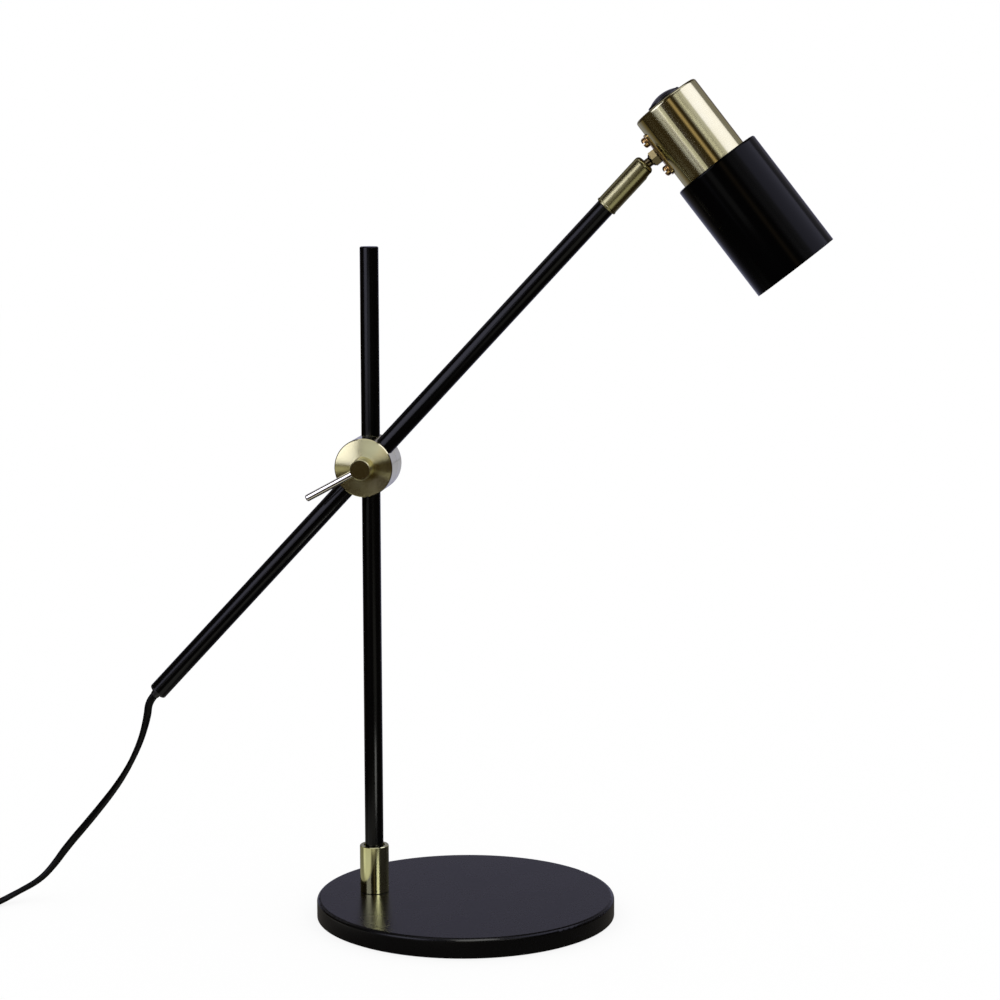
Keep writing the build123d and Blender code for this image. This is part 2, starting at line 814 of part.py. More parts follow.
with BuildPart() as head_cup:
    rod(head_plane(0), cup_diameter, cup_length)
    cup_end = head_cup.faces().sort_by(Axis(cup_rear, head_direction))[0]
    fillet(cup_end.edges(), cup_edge_radius)
    rod(head_plane(cup_rear_wall), cup_diameter - 2 * cup_wall, cup_length, Mode.SUBTRACT)
    rod(head_plane(0), barrel_hole, cup_rear_wall, Mode.SUBTRACT)
    rod(stem_plane(0), stem_hole, head_axis_distance, Mode.SUBTRACT)
    for station in screw_stations:
        rod(stem_plane(0, station), screw_hole, head_axis_distance, Mode.SUBTRACT)
finish(head_cup, "head_cup")

# Shade: a deep can whose rear wall is clamped against the cup's rim
shade_front = cup_length + shade_length
shade_floor = cup_length + shade_rear_wall

with BuildPart() as shade:
    rod(holder_plane(cup_length), shade_diameter, shade_length)
    shade_end = shade.faces().sort_by(Axis(cup_rear, head_direction))[0]
    fillet(shade_end.edges(), shade_edge_radius)
    rod(holder_plane(shade_floor), shade_diameter - 2 * shade_wall, shade_length, Mode.SUBTRACT)
    shade_hole = holder_skirt_diameter + 2 * shade_hole_clearance
    rod(holder_plane(cup_length), shade_hole, shade_length, Mode.SUBTRACT)
finish(shade, "shade")

# Lamp holder on the bracket, with the shade ring on its skirt
holder_back = bracket_front
holder_front = cup_length + holder_skirt_length
holder_bottom = holder_back + holder_floor
flange_back = cup_length - holder_flange_thickness
holder_radius = holder_base_diameter / 2
skirt_radius = holder_skirt_diameter / 2
holder_bore_radius = holder_bore_diameter / 2

with BuildPart() as lamp_holder:
    turned(
        holder_section,
        [
            (0, holder_back),
            (holder_radius, holder_back),
            (holder_radius, flange_back),
            (holder_flange_diameter / 2, flange_back),
            (holder_flange_diameter / 2, cup_length - stack_play),
            (skirt_radius, cup_length - stack_play),
            (skirt_radius, holder_front),
            (holder_bore_radius, holder_front),
            (holder_bore_radius, holder_bottom),
            (0, holder_bottom),
        ],
    )
    rod(holder_plane(holder_back), holder_screw_diameter, holder_screw_grip, Mode.SUBTRACT)
finish(lamp_holder, "lamp_holder")

with BuildPart() as holder_screw:
    screw_seat = bracket_front - bracket_thickness
    rod(holder_plane(screw_seat), holder_screw_head, -holder_screw_head_height)
    rod(holder_plane(screw_seat), holder_screw_diameter, bracket_thickness + holder_screw_grip)
finish(holder_screw, "holder_screw")

with BuildPart() as shade_ring:
    ring_start = shade_floor + stack_play
    ring_bore = holder_skirt_diameter + 2 * plug_fit
    pipe(holder_plane(ring_start), shade_ring_diameter, ring_bore, shade_ring_flange)
    pipe(holder_plane(ring_start), shade_ring_grip_diameter, ring_bore, shade_ring_height)
    with BuildSketch(holder_plane(ring_start + shade_ring_flange)):
        with PolarLocations(shade_ring_grip_diameter / 2, shade_ring_grips):
            Circle(shade_ring_flange)
    extrude(amount=shade_ring_height, mode=Mode.SUBTRACT)
finish(shade_ring, "shade_ring")

with BuildPart() as screw_shell:
    shell_diameter = holder_bore_diameter - 2 * shell_fit
    pipe(holder_plane(holder_bottom), shell_diameter, shell_diameter - 2 * shell_wall, shell_length)
finish(screw_shell, "screw_shell")

with BuildPart() as centre_contact:
    rod(holder_plane(holder_bottom), contact_diameter, contact_height)
finish(centre_contact, "centre_contact")

# Bulb: a screw cap and a round glass globe
bulb_tip = holder_bottom + contact_height
bulb_cap_start = bulb_tip + bulb_tip_height
bulb_cap_end = bulb_cap_start + bulb_cap_length
globe_centre = bulb_cap_end + bulb_centre
globe_radius = bulb_diameter / 2
bulb_turn = math.radians(bulb_tangent_angle)
shoulder_point = (globe_radius * math.sin(bulb_turn), globe_centre - globe_radius * math.cos(bulb_turn))

with BuildPart() as bulb_cap:
    rod(holder_plane(bulb_tip), bulb_tip_diameter, bulb_tip_height)
    rod(holder_plane(bulb_cap_start), bulb_cap_diameter, bulb_cap_length)
finish(bulb_cap, "bulb_cap")

with BuildPart() as bulb_globe:
    with BuildSketch(holder_section):
        with BuildLine():
            Polyline(
                (0, globe_centre + globe_radius),
                (0, bulb_cap_end),
                (bulb_neck_diameter / 2, bulb_cap_end),
            )
            Spline(
                (bulb_neck_diameter / 2, bulb_cap_end),
                shoulder_point,
                tangents=((0, 1), (math.cos(bulb_turn), math.sin(bulb_turn))),
            )
            CenterArc((0, globe_centre), globe_radius, bulb_tangent_angle - 90, 180 - bulb_tangent_angle)
        make_face()
    revolve(axis=Axis(holder_rear, head_direction))
    with Locations(holder_rear + head_direction * globe_centre):
        Sphere(globe_radius - bulb_glass, mode=Mode.SUBTRACT)
    neck_bore = bulb_neck_diameter - 2 * bulb_glass
    rod(holder_plane(bulb_cap_end + bulb_glass), neck_bore, bulb_centre, Mode.SUBTRACT)
finish(bulb_globe, "bulb_globe")

# Push switch: bezel and barrel in one moulding, a nut inside the cup and a domed button
button_hole = button_diameter + 2 * button_fit

with BuildPart() as switch_housing:
    rod(head_plane(0), bezel_diameter, -bezel_height)
    bezel_end = switch_housing.faces().sort_by(Axis(cup_rear, head_direction))[0]
    fillet(bezel_end.edges(), bezel_edge)
    rod(head_plane(0), barrel_diameter, barrel_length)
    rod(head_plane(barrel_length - barrel_floor), button_hole, -barrel_length - bezel_height, Mode.SUBTRACT)
finish(switch_housing, "switch_housing")

with BuildPart() as switch_nut:
    hexagon(head_plane(cup_rear_wall), switch_nut_across, switch_nut_height, barrel_diameter)
finish(switch_nut, "switch_nut")

with BuildPart() as switch_button:
    dome_height = button_height - button_side
    dome_radius = ((button_diameter / 2) ** 2 + dome_height**2) / (2 * dome_height)
    rod(head_plane(button_depth), button_diameter, -button_depth - button_height)
    with Locations(cup_rear + head_direction * (dome_radius - button_height)):
        Sphere(dome_radius, mode=Mode.INTERSECT)
finish(switch_button, "switch_button")

# Leads inside the head
with BuildPart() as head_lead:
    lead_stop = head_axis_distance - head_lead_turn
    with BuildLine(stem_section) as head_lead_path:
        FilletPolyline(
            (0, ball_radius / 2),
            (0, lead_stop),
            (barrel_length - stem_station, lead_stop),
            radius=head_lead_bend,
        )
    with BuildSketch(stem_plane(ball_radius / 2)):
        Circle(lead_diameter / 2)
    sweep(path=head_lead_path.wire())
finish(head_lead, "head_lead")

with BuildPart() as switch_wires:
    with BuildSketch(head_plane(barrel_length)):
        with Locations((-wire_from_axis, wire_spacing / 2), (-wire_from_axis, -wire_spacing / 2)):
            Circle(wire_diameter / 2)
    extrude(amount=holder_back - barrel_length)
finish(switch_wires, "switch_wires")

# Cord: from the bush in the arm's end down to the table, then into a put-away coil
cord_start = arm_centre - arm_direction * (cord_exit + cord_clearance)
cord_rest = cord_diameter / 2
coil_bottom = cord_rest + tie_thickness + tie_gap
coil_top = coil_bottom + coil_layer
plug_axis = plug_thickness / 2

# The coil's half turns spiral in, climb a layer, spiral out and come down to the plug
coil_radii = [coil_outer_radius - turn * coil_step / 2 for turn in range(coil_half_turns_in + 1)]
coil_heights = [coil_bottom] * len(coil_radii)
coil_radii += coil_radii[:0:-1] + [coil_last_radius]
coil_heights += [coil_top] * coil_half_turns_in + [plug_axis]


def coil_point(turn):
    """Where a half turn of the coil starts: on its right side, or on its left side if the count is odd."""
    side = 1 if turn % 2 == 0 else -1
    return Vector(coil_centre[0] + side * coil_radii[turn], coil_centre[1], coil_heights[turn])


coil_points = [coil_point(turn) for turn in range(len(coil_radii))]
coil_entry = coil_points[0] + Vector(0, cord_diameter, 0)
plug_start = coil_points[-1] + Vector(0, cord_diameter, 0)

cord_route = [
    cord_start,
    cord_start - arm_direction * cord_first_run,
    Vector(-220.5, -17.2, 136.5),
    Vector(-226.5, -15.8, 116.0),
    Vector(-241.5, -11.0, 90.0),
    Vector(-264.5, -4.0, 61.3),
    Vector(-285.0, 0.5, 37.0),
    Vector(-296.6, -0.6, 23.3),
    Vector(-307.2, -5.8, 13.4),
    Vector(-317.5, -14.7, 6.3),
    Vector(-326.5, -26.6, cord_rest),
    Vector(-333.3, -40.0, cord_rest),
    coil_entry + Vector(0, cord_last_run, 0),
    coil_entry,
]


def route_radii(points):
    """Arc radius at each inner point: a share of the shorter run over the tangent of half the turn."""
    radii = []
    for before, corner, after in zip(points, points[1:], points[2:]):
        turn = math.radians((corner - before).get_angle(after - corner))
        run = min((corner - before).length, (after - corner).length)
        radii.append(cord_run_share * run / math.tan(turn / 2))
    return radii


def tube_report(name, solid, wire):
    """Prints a swept tube's length and its volume as a share of section times length."""
    share = solid.volume / (math.pi * cord_diameter**2 / 4 * wire.length)
    print(name, "length", round(wire.length, 1), "volume share", round(share, 4))


def least_gap(wire, samples):
    """Least distance between the surfaces of a tube's turns, measured on points along its middle."""
    points = [wire @ (number / samples) for number in range(samples + 1)]
    apart = math.ceil(3 * cord_diameter / (wire.length / samples))
    near = min(
        (first - second).length
        for number, first in enumerate(points)
        for second in points[number + apart:]
    )
    return near - cord_diameter


cord_radii = route_radii(cord_route)
print("cord radii", [round(radius, 1) for radius in cord_radii])

with BuildPart() as cord_free:
    with BuildLine() as cord_path:
        FilletPolyline(*cord_route, radius=cord_radii)
    with BuildSketch(Plane(origin=cord_start, z_dir=-arm_direction)):
        Circle(cord_diameter / 2)
    sweep(path=cord_path.wire())
tube_report("cord_free", cord_free.part, cord_path.wire())
finish(cord_free, "cord_free")

with BuildPart() as cord_coil:
    with BuildLine() as coil_path:
        Line(coil_entry, coil_points[0])
        for turn, (start, end) in enumerate(zip(coil_points, coil_points[1:])):
            bulge = Vector(0, -1 if turn % 2 == 0 else 1, 0)
            ThreePointArc(start, (start + end) * 0.5 + bulge * ((end - start).length / 2), end)
        Line(coil_points[-1], plug_start)
    with BuildSketch(Plane(origin=coil_entry, z_dir=toward_viewer)):
        Circle(cord_diameter / 2)
    sweep(path=coil_path.wire())
tube_report("cord_coil", cord_coil.part, coil_path.wire())
print("cord_coil least gap", round(least_gap(coil_path.wire(), coil_samples), 2))
finish(cord_coil, "cord_coil")

# Band round the coil's far side
tie_plane = Plane(origin=(coil_centre[0], coil_centre[1], 0), x_dir=(0, 1, 0), z_dir=(1, 0, 0))
tie_inner = (coil_radii[coil_half_turns_in] + coil_radii[coil_half_turns_in - 1]) / 2 - cord_rest - tie_sag
tie_outer = (coil_radii[1] + coil_radii[2]) / 2 + cord_rest
tie_across = tie_outer - tie_inner + 2 * tie_gap
tie_tall = coil_layer + cord_diameter + 2 * tie_gap
tie_middle = ((tie_inner + tie_outer) / 2, (coil_bottom + coil_top) / 2)

with BuildPart() as cord_tie:
    with BuildSketch(tie_plane):
        with Locations(tie_middle):
            RectangleRounded(tie_across + 2 * tie_thickness, tie_tall + 2 * tie_thickness, tie_corner)
            RectangleRounded(tie_across, tie_tall, tie_corner - tie_thickness, mode=Mode.SUBTRACT)
    extrude(amount=tie_width / 2, both=True)
finish(cord_tie, "cord_tie")

# Plug: a moulded body with a tapered, ribbed tail and two round pins
plug_rear = plug_start + Vector(0, tail_length, 0)
plug_plane = Plane(origin=(plug_rear.X, plug_rear.Y, 0), x_dir=(1, 0, 0), z_dir=(0, 0, 1))
pin_face = Plane(origin=plug_rear + Vector(0, plug_length, 0), x_dir=(1, 0, 0), z_dir=(0, 1, 0))
tail_section = section(plug_start, Vector(1, 0, 0), Vector(0, 1, 0))


def tail_outline():
    """Radius and distance along the tail: a taper with a groove after each rib."""
    pitch = tail_length / tail_ribs
    slope = (tail_root_diameter - tail_tip_diameter) / 2 / tail_length
    points = [(0, 0)]
    for rib in range(tail_ribs):
        start = rib * pitch
        middle = start + pitch / 2
        points.append((tail_tip_diameter / 2 + slope * start, start))
        points.append((tail_tip_diameter / 2 + slope * middle, middle))
        points.append((tail_tip_diameter / 2 + slope * middle - tail_groove, middle))
        points.append((tail_tip_diameter / 2 + slope * (start + pitch) - tail_groove, start + pitch))
    points.append((tail_root_diameter / 2, tail_length))
    points.append((tail_root_diameter / 2, tail_length + tail_overlap))
    points.append((0, tail_length + tail_overlap))
    return points


with BuildPart() as plug_body:
    with BuildSketch(plug_plane):
        with BuildLine():
            Polyline(
                (-plug_neck_width / 2, 0),
                (plug_neck_width / 2, 0),
                (plug_width / 2, plug_shoulder),
                (plug_width / 2, plug_length),
                (-plug_width / 2, plug_length),
                (-plug_width / 2, plug_shoulder),
                close=True,
            )
        make_face()
    extrude(amount=plug_thickness)
    fillet(plug_body.edges().filter_by(Plane.XY), plug_edge)
    turned(tail_section, tail_outline())
    with BuildSketch(pin_face):
        with Locations((-pin_spacing / 2, 0), (pin_spacing / 2, 0)):
            Circle(pin_diameter / 2 + plug_fit)
    extrude(amount=-pin_root, mode=Mode.SUBTRACT)
finish(plug_body, "plug_body")

with BuildPart() as plug_pins:
    with BuildSketch(pin_face.offset(-pin_root)):
        with Locations((-pin_spacing / 2, 0), (pin_spacing / 2, 0)):
            Circle(pin_diameter / 2)
    extrude(amount=pin_root + pin_length)
    pin_tips = plug_pins.faces().filter_by(GeomType.PLANE).sort_by(Axis.Y)[-2:]
    fillet(pin_tips.edges(), pin_tip)
finish(plug_pins, "plug_pins")

print("cord length", round(cord_path.wire().length + coil_path.wire().length, 1))
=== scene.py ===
"""Desk lamp in black paint and brass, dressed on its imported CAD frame.

Metres, +Z up. The mast stands on the -X side of a round base and the hub's face looks towards -Y.
"""

import json
import math

import bpy
import numpy as np
from mathutils import Matrix, Vector


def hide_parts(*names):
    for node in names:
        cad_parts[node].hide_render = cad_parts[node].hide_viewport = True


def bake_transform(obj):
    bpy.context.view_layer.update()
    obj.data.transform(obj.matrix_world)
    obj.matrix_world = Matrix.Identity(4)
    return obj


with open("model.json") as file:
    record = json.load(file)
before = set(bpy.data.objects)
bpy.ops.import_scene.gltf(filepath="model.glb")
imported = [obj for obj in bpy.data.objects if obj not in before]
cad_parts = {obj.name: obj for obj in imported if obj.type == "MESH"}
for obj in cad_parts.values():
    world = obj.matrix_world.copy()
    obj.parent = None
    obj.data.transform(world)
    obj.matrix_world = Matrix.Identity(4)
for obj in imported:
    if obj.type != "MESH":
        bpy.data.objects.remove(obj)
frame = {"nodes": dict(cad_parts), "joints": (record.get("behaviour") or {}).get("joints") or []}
nodes = frame["nodes"]
joints = {joint["name"]: joint for joint in frame["joints"]}
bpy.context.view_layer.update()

# Camera, fitted to the photograph
CAMERA_PLACE = (0.28705, -1.75357, 0.53716)
CAMERA_HEADING = 8.515
CAMERA_PITCH = 7.956
CAMERA_ROLL = -0.127
CAMERA_LENS = 95.5
SENSOR_WIDTH = 36.0

# Axes of the lamp's round parts
TOWARD_VIEWER = Vector((0, -1, 0))
UP = Vector((0, 0, 1))
HUB_CENTRE = Vector(joints["arm_tilt"]["pos_m"])
ARM_AXIS = Vector(joints["head_swivel"]["axis"])
HEAD_AXIS = Vector(joints["switch_press"]["axis"])
PIVOT = Vector(joints["head_tilt"]["pos_m"])
STEM_AXIS = Vector((-HEAD_AXIS.z, 0, HEAD_AXIS.x))
CUP_RADIUS = 0.02375
STEM_REACH = 0.015
STEM_STATION = 0.0251
CUP_REAR = PIVOT + STEM_AXIS * (STEM_REACH + CUP_RADIUS) - HEAD_AXIS * STEM_STATION
HOLDER_OFFSET = 0.0014
HOLDER_REAR = CUP_REAR + STEM_AXIS * HOLDER_OFFSET
MAST_FOOT = Vector((HUB_CENTRE.x, 0, 0))
CUP_LENGTH = 0.0527
SHADE_RADIUS = 0.03025
SHADE_WALL = 0.001

# Colours, as linear light
CUP_BRASS = (0.83, 0.80, 0.52)
HUB_BRASS = (0.85, 0.81, 0.47)
SOCKET_BRASS = (0.50, 0.475, 0.26)
COLLAR_BRASS = (0.80, 0.80, 0.45)
STEM_BRONZE = (0.20, 0.16, 0.085)
PLATE_BRASS = (0.82, 0.62, 0.30)
SCREW_BRASS = (0.78, 0.50, 0.20)
DEEPER = (0.90, 0.875, 0.79)
NICKEL = (0.87, 0.85, 0.77)
STEEL = (0.56, 0.56, 0.58)
BLUED_STEEL = (0.05, 0.05, 0.055)
CAP_METAL = (0.78, 0.78, 0.79)
WHITE = (1.0, 1.0, 1.0)
BLACK = (0.0005, 0.0005, 0.0007)
LINING = (0.78, 0.77, 0.74)
BARE_IRON = (0.04, 0.04, 0.04)
RUBBER = (0.012, 0.012, 0.012)
NYLON = (0.7, 0.69, 0.65)
PLASTIC = (0.006, 0.006, 0.006)
SWITCH_BLACK = (0.004, 0.004, 0.006)
BAND = (0.01, 0.01, 0.01)
SHEATH = (0.0008, 0.0008, 0.0009)
SOCKET_EDGE = (0.6, 0.6, 0.55)
CUP_EDGE = (0.6, 0.55, 0.4)
OPAL = ((0.82, 0.82, 0.79), (0.9, 0.9, 0.88))

# Finishes: specular levels, noise scales in cells a metre, and depths in metres
PAINT_GLOSS = 0.27
SHADE_GLOSS = 0.11
CORD_GLOSS = 0.2
LINE_PITCH = 5200.0
LINE_DEPTH = 1e-5
CLOUD_SCALE = 60.0
MOTTLE_SCALE = 45.0
PAINT_GRAIN = 2600.0
PAINT_PEEL = 6e-6
TUBE_PEEL = 3e-6
GRAIN_DEPTH = 1e-5
SHADE_ROUGH = (0.155, 0.175)
LINING_ROUGHER = 0.2
WALL_SHARE = 0.6
FACE_LIMIT = 0.8
QUARTER_TURN = 0.25


# Node helpers


def add(tree, kind, settings=None, inputs=None):
    """New node with its settings, and values or links for its inputs, by name or number."""
    node = tree.nodes.new(kind)
    for name, value in (settings or {}).items():
        setattr(node, name, value)
    for name, value in (inputs or {}).items():
        if isinstance(value, bpy.types.NodeSocket):
            tree.links.new(value, node.inputs[name])
        else:
            node.inputs[name].default_value = value
    return node


def calc(tree, operation, *values):
    """Arithmetic on numbers or number sockets."""
    return add(tree, "ShaderNodeMath", {"operation": operation}, dict(enumerate(values))).outputs[0]


def vector(tree, operation, *values):
    """Vector arithmetic; gives the vector result."""
    return add(tree, "ShaderNodeVectorMath", {"operation": operation}, dict(enumerate(values))).outputs[0]


def measure(tree, operation, *values):
    """Vector arithmetic; gives the number result."""
    return add(tree, "ShaderNodeVectorMath", {"operation": operation}, dict(enumerate(values))).outputs[1]


def spread(tree, value, low, high, to_low, to_high, smooth=False):
    """Maps a range of a number to another range, clamped."""
    settings = {"interpolation_type": "SMOOTHSTEP" if smooth else "LINEAR"}
    inputs = {0: value, 1: low, 2: high, 3: to_low, 4: to_high}
    return add(tree, "ShaderNodeMapRange", settings, inputs).outputs[0]


def tint(tree, share, first, second):
    """Colour between two colours."""
    inputs = {0: share, 6: (*first, 1), 7: (*second, 1)}
    return add(tree, "ShaderNodeMix", {"data_type": "RGBA"}, inputs).outputs[2]


def noise(tree, place, scale, detail=2.0):
    """Cloudy noise, about 0 to 1, with a scale in cells a metre."""
    inputs = {"Vector": place, "Scale": scale, "Detail": detail}
    return add(tree, "ShaderNodeTexNoise", None, inputs).outputs[0]


def bump(tree, height, distance, strength=1.0):
    """Normal from a height; the distance is the height's size in metres."""
    inputs = {"Height": height, "Distance": distance, "Strength": strength}
    return add(tree, "ShaderNodeBump", None, inputs).outputs[0]


def new_material(name, **values):
    """Material with a Principled shader whose sockets hold the given constants."""
    material = bpy.data.materials.new(name)
    material.use_nodes = True
    shader = material.node_tree.nodes["Principled BSDF"]
    for socket, value in values.items():
        shader.inputs[socket.replace("_", " ")].default_value = value
    place = add(material.node_tree, "ShaderNodeTexCoord").outputs["Object"]
    return material, material.node_tree, shader, place


def feed(tree, shader, **sockets):
    """Links node outputs to the shader's inputs."""
    for name, socket in sockets.items():
        tree.links.new(socket, shader.inputs[name.replace("_", " ")])


def around(tree, place, centre, axis):
    """Distance along an axis, distance from it, and the direction round it, for each point."""
    offset = vector(tree, "SUBTRACT", place, centre)
    along = measure(tree, "DOT_PRODUCT", offset, axis)
    axial = add(tree, "ShaderNodeVectorMath", {"operation": "SCALE"}, {0: axis, 3: along}).outputs[0]
    radial = vector(tree, "SUBTRACT", offset, axial)
    radius = measure(tree, "LENGTH", radial)
    return along, radius, vector(tree, "NORMALIZE", vector(tree, "CROSS_PRODUCT", axis, radial))


# Materials


def brushed_metal(
    name, colour, centre, axis, rough, side_rough, lines=0.4, dome=0.0, stretch=0.0, edge=WHITE
):
    """Metal turned on an axis: fine lines run round its sides and its faces, which may be crowned."""
    material, tree, shader, place = new_material(name, Metallic=1.0, Anisotropic=stretch)
    shader.inputs["Anisotropic Rotation"].default_value = QUARTER_TURN
    shader.inputs["Specular Tint"].default_value = (*edge, 1)
    along, radius, direction = around(tree, place, centre, axis)
    outward = add(tree, "ShaderNodeTexCoord").outputs["Normal"]
    facing = calc(tree, "ABSOLUTE", measure(tree, "DOT_PRODUCT", outward, axis))
    on_face = calc(tree, "GREATER_THAN", facing, FACE_LIMIT)
    run = calc(tree, "MULTIPLY_ADD", on_face, calc(tree, "SUBTRACT", radius, along), along)
    groove = calc(tree, "MULTIPLY", run, LINE_PITCH)
    inputs = {"W": groove, "Detail": 3.0}
    fine = add(tree, "ShaderNodeTexNoise", {"noise_dimensions": "1D"}, inputs).outputs[0]
    cloud = noise(tree, place, CLOUD_SCALE, 3.0)
    share = calc(tree, "ADD", calc(tree, "MULTIPLY", fine, 0.5), calc(tree, "MULTIPLY", cloud, 0.5))
    height = calc(tree, "MULTIPLY", fine, lines * LINE_DEPTH)
    if dome:
        crown = calc(tree, "MULTIPLY", calc(tree, "MULTIPLY", radius, radius), dome)
        height = calc(tree, "SUBTRACT", height, calc(tree, "MULTIPLY", crown, on_face))
    finish = calc(tree, "MULTIPLY_ADD", on_face, rough - side_rough, side_rough)
    deep = tuple(channel * factor for channel, factor in zip(colour, DEEPER))
    feed(
        tree,
        shader,
        Base_Color=tint(tree, spread(tree, share, 0.35, 0.65, 0.0, 1.0), deep, colour),
        Roughness=calc(tree, "MULTIPLY", finish, spread(tree, share, 0.3, 0.7, 0.9, 1.1)),
    )
    if lines:
        feed(tree, shader, Normal=bump(tree, height, 1.0))
    if stretch:
        feed(tree, shader, Tangent=direction)
    return material


def cast_metal(name, colour, rough, grain):
    """Plain metal with a faint grain in its colour, gloss and surface."""
    material, tree, shader, place = new_material(name, Metallic=1.0)
    speckle = noise(tree, place, grain, 4.0)
    shade = tuple(channel * 0.8 for channel in colour)
    feed(
        tree,
        shader,
        Base_Color=tint(tree, speckle, shade, colour),
        Roughness=spread(tree, speckle, 0.3, 0.7, rough * 0.8, rough * 1.25),
        Normal=bump(tree, speckle, GRAIN_DEPTH, 0.4),
    )
    return material


def coating(name, colour, rough, grain, depth, lift=1.6, gloss=0.5):
    """Paint, plastic or rubber: colour with a faint mottle, and a fine orange-peel surface."""
    material, tree, shader, place = new_material(name, Specular_IOR_Level=gloss)
    mottle = noise(tree, place, MOTTLE_SCALE, 3.0)
    peel = noise(tree, place, grain, 2.0)
    pale = tuple(min(1.0, channel * lift) for channel in colour)
    feed(
        tree,
        shader,
        Base_Color=tint(tree, mottle, colour, pale),
        Roughness=spread(tree, mottle, 0.3, 0.7, rough * 0.97, rough * 1.05),
        Normal=bump(tree, peel, depth, 0.5),
    )
    return material


def shade_paint():
    """Satin black outside and warm white inside, told apart by the distance from the head's axis."""
    material, tree, shader, place = new_material("shade_paint", Specular_IOR_Level=SHADE_GLOSS)
    along, radius, _ = around(tree, place, HOLDER_REAR, HEAD_AXIS)
    within = calc(tree, "LESS_THAN", radius, SHADE_RADIUS - SHADE_WALL * WALL_SHARE)
    ahead = calc(tree, "GREATER_THAN", along, CUP_LENGTH + SHADE_WALL * WALL_SHARE)
    lining = calc(tree, "MULTIPLY", within, ahead)
    peel = noise(tree, place, PAINT_GRAIN, 2.0)
    mottle = noise(tree, place, MOTTLE_SCALE, 3.0)
    outside = spread(tree, mottle, 0.3, 0.7, *SHADE_ROUGH)
    feed(
        tree,
        shader,
        Base_Color=tint(tree, lining, BLACK, LINING),
        Roughness=calc(tree, "MULTIPLY_ADD", lining, LINING_ROUGHER, outside),
        Normal=bump(tree, peel, PAINT_PEEL, 0.5),
    )
    return material


def opal_glass():
    """Milky bulb glass with a faint cloud."""
    material, tree, shader, place = new_material("opal_glass", Roughness=0.12, IOR=1.5)
    shader.inputs["Transmission Weight"].default_value = 0.35
    cloud = noise(tree, place, 30.0, 2.0)
    feed(tree, shader, Base_Color=tint(tree, cloud, *OPAL))
    return material


def dress(material, *names):
    """Gives a material to CAD nodes."""
    for name in names:
        nodes[name].data.materials.clear()
        nodes[name].data.materials.append(material)


def dress_nodes():
    """Materials of the CAD pieces that stay in view; gives the cord's own material."""
    base = coating("base_paint", BLACK, 0.27, PAINT_GRAIN, PAINT_PEEL, gloss=PAINT_GLOSS)
    dress(base, "base_cover")
    paint = coating("tube_paint", BLACK, 0.20, PAINT_GRAIN, TUBE_PEEL, gloss=PAINT_GLOSS)
    dress(paint, "mast_lower", "mast_upper", "mast_cap", "arm_lower", "arm_upper")
    dress(shade_paint(), "shade")

    hub = brushed_metal(
        "hub_brass", HUB_BRASS, HUB_CENTRE, TOWARD_VIEWER, 0.20, 0.10, dome=5.0, stretch=1.0
    )
    dress(hub, "hub_front", "hub_rear")
    boss = brushed_metal("boss_brass", HUB_BRASS, HUB_CENTRE, TOWARD_VIEWER, 0.10, 0.40, lines=0.1)
    dress(boss, "clamp_screw", "thrust_washer")
    dress(cast_metal("lever_nickel", NICKEL, 0.08, 900.0), "lever_rod")
    collar = brushed_metal("collar_brass", COLLAR_BRASS, MAST_FOOT, UP, 0.25, 0.10, lines=0.1)
    dress(collar, "mast_collar")
    socket = brushed_metal(
        "socket_brass", SOCKET_BRASS, HUB_CENTRE, ARM_AXIS, 0.26, 0.26, lines=0.0, edge=SOCKET_EDGE
    )
    dress(socket, "socket_sleeve", "socket_cap")
    cup = brushed_metal(
        "cup_brass", CUP_BRASS, CUP_REAR, HEAD_AXIS, 0.15, 0.15, lines=0.0, stretch=1.0, edge=CUP_EDGE
    )
    dress(cup, "head_cup")

    dress(cast_metal("stem_brass", STEM_BRONZE, 0.13, 900.0), "ball_stem", "stem_nut")
    fittings = cast_metal("fitting_brass", PLATE_BRASS, 0.2, 700.0)
    dress(fittings, "saddle_plate", "saddle_nuts", "seat_screw")
    dress(cast_metal("screw_brass", SCREW_BRASS, 0.2, 900.0), "saddle_screws")
    dress(cast_metal("contact_brass", CUP_BRASS, 0.3, 700.0), "screw_shell", "centre_contact")
    steel = cast_metal("zinc_steel", STEEL, 0.3, 800.0)
    dress(steel, "base_bolt", "base_washer", "arm_nipple", "nipple_nut", "seat_spring")
    dress(steel, "holder_bracket", "holder_screw", "plug_pins")
    dress(cast_metal("blued_steel", BLUED_STEEL, 0.3, 800.0), "collar_set_screw")
    dress(cast_metal("bright_cap", CAP_METAL, 0.25, 500.0), "bulb_cap")

    dress(coating("cast_iron", BARE_IRON, 0.7, 900.0, 5e-5), "base_weight")
    dress(coating("pad_rubber", RUBBER, 0.8, 1800.0, 3e-5), "base_pad")
    dress(coating("nylon", NYLON, 0.45, 1500.0, 8e-6, lift=1.1), "friction_washer", "ball_seat")
    plastic = coating("black_plastic", PLASTIC, 0.42, 2200.0, 8e-6)
    dress(plastic, "cord_bush", "lamp_holder", "shade_ring", "switch_nut", "plug_body")
    switch = coating("switch_plastic", SWITCH_BLACK, 0.2, 1200.0, 3e-6)
    dress(switch, "switch_housing", "switch_button")
    dress(opal_glass(), "bulb_globe")
    dress(coating("tie_band", BAND, 0.75, 2400.0, 4e-5), "cord_tie")
    sheath = coating("cord_sheath", SHEATH, 0.38, 1500.0, 8e-6, gloss=CORD_GLOSS)
    dress(sheath, "arm_lead", "head_lead", "switch_wires")
    return sheath


# Cord

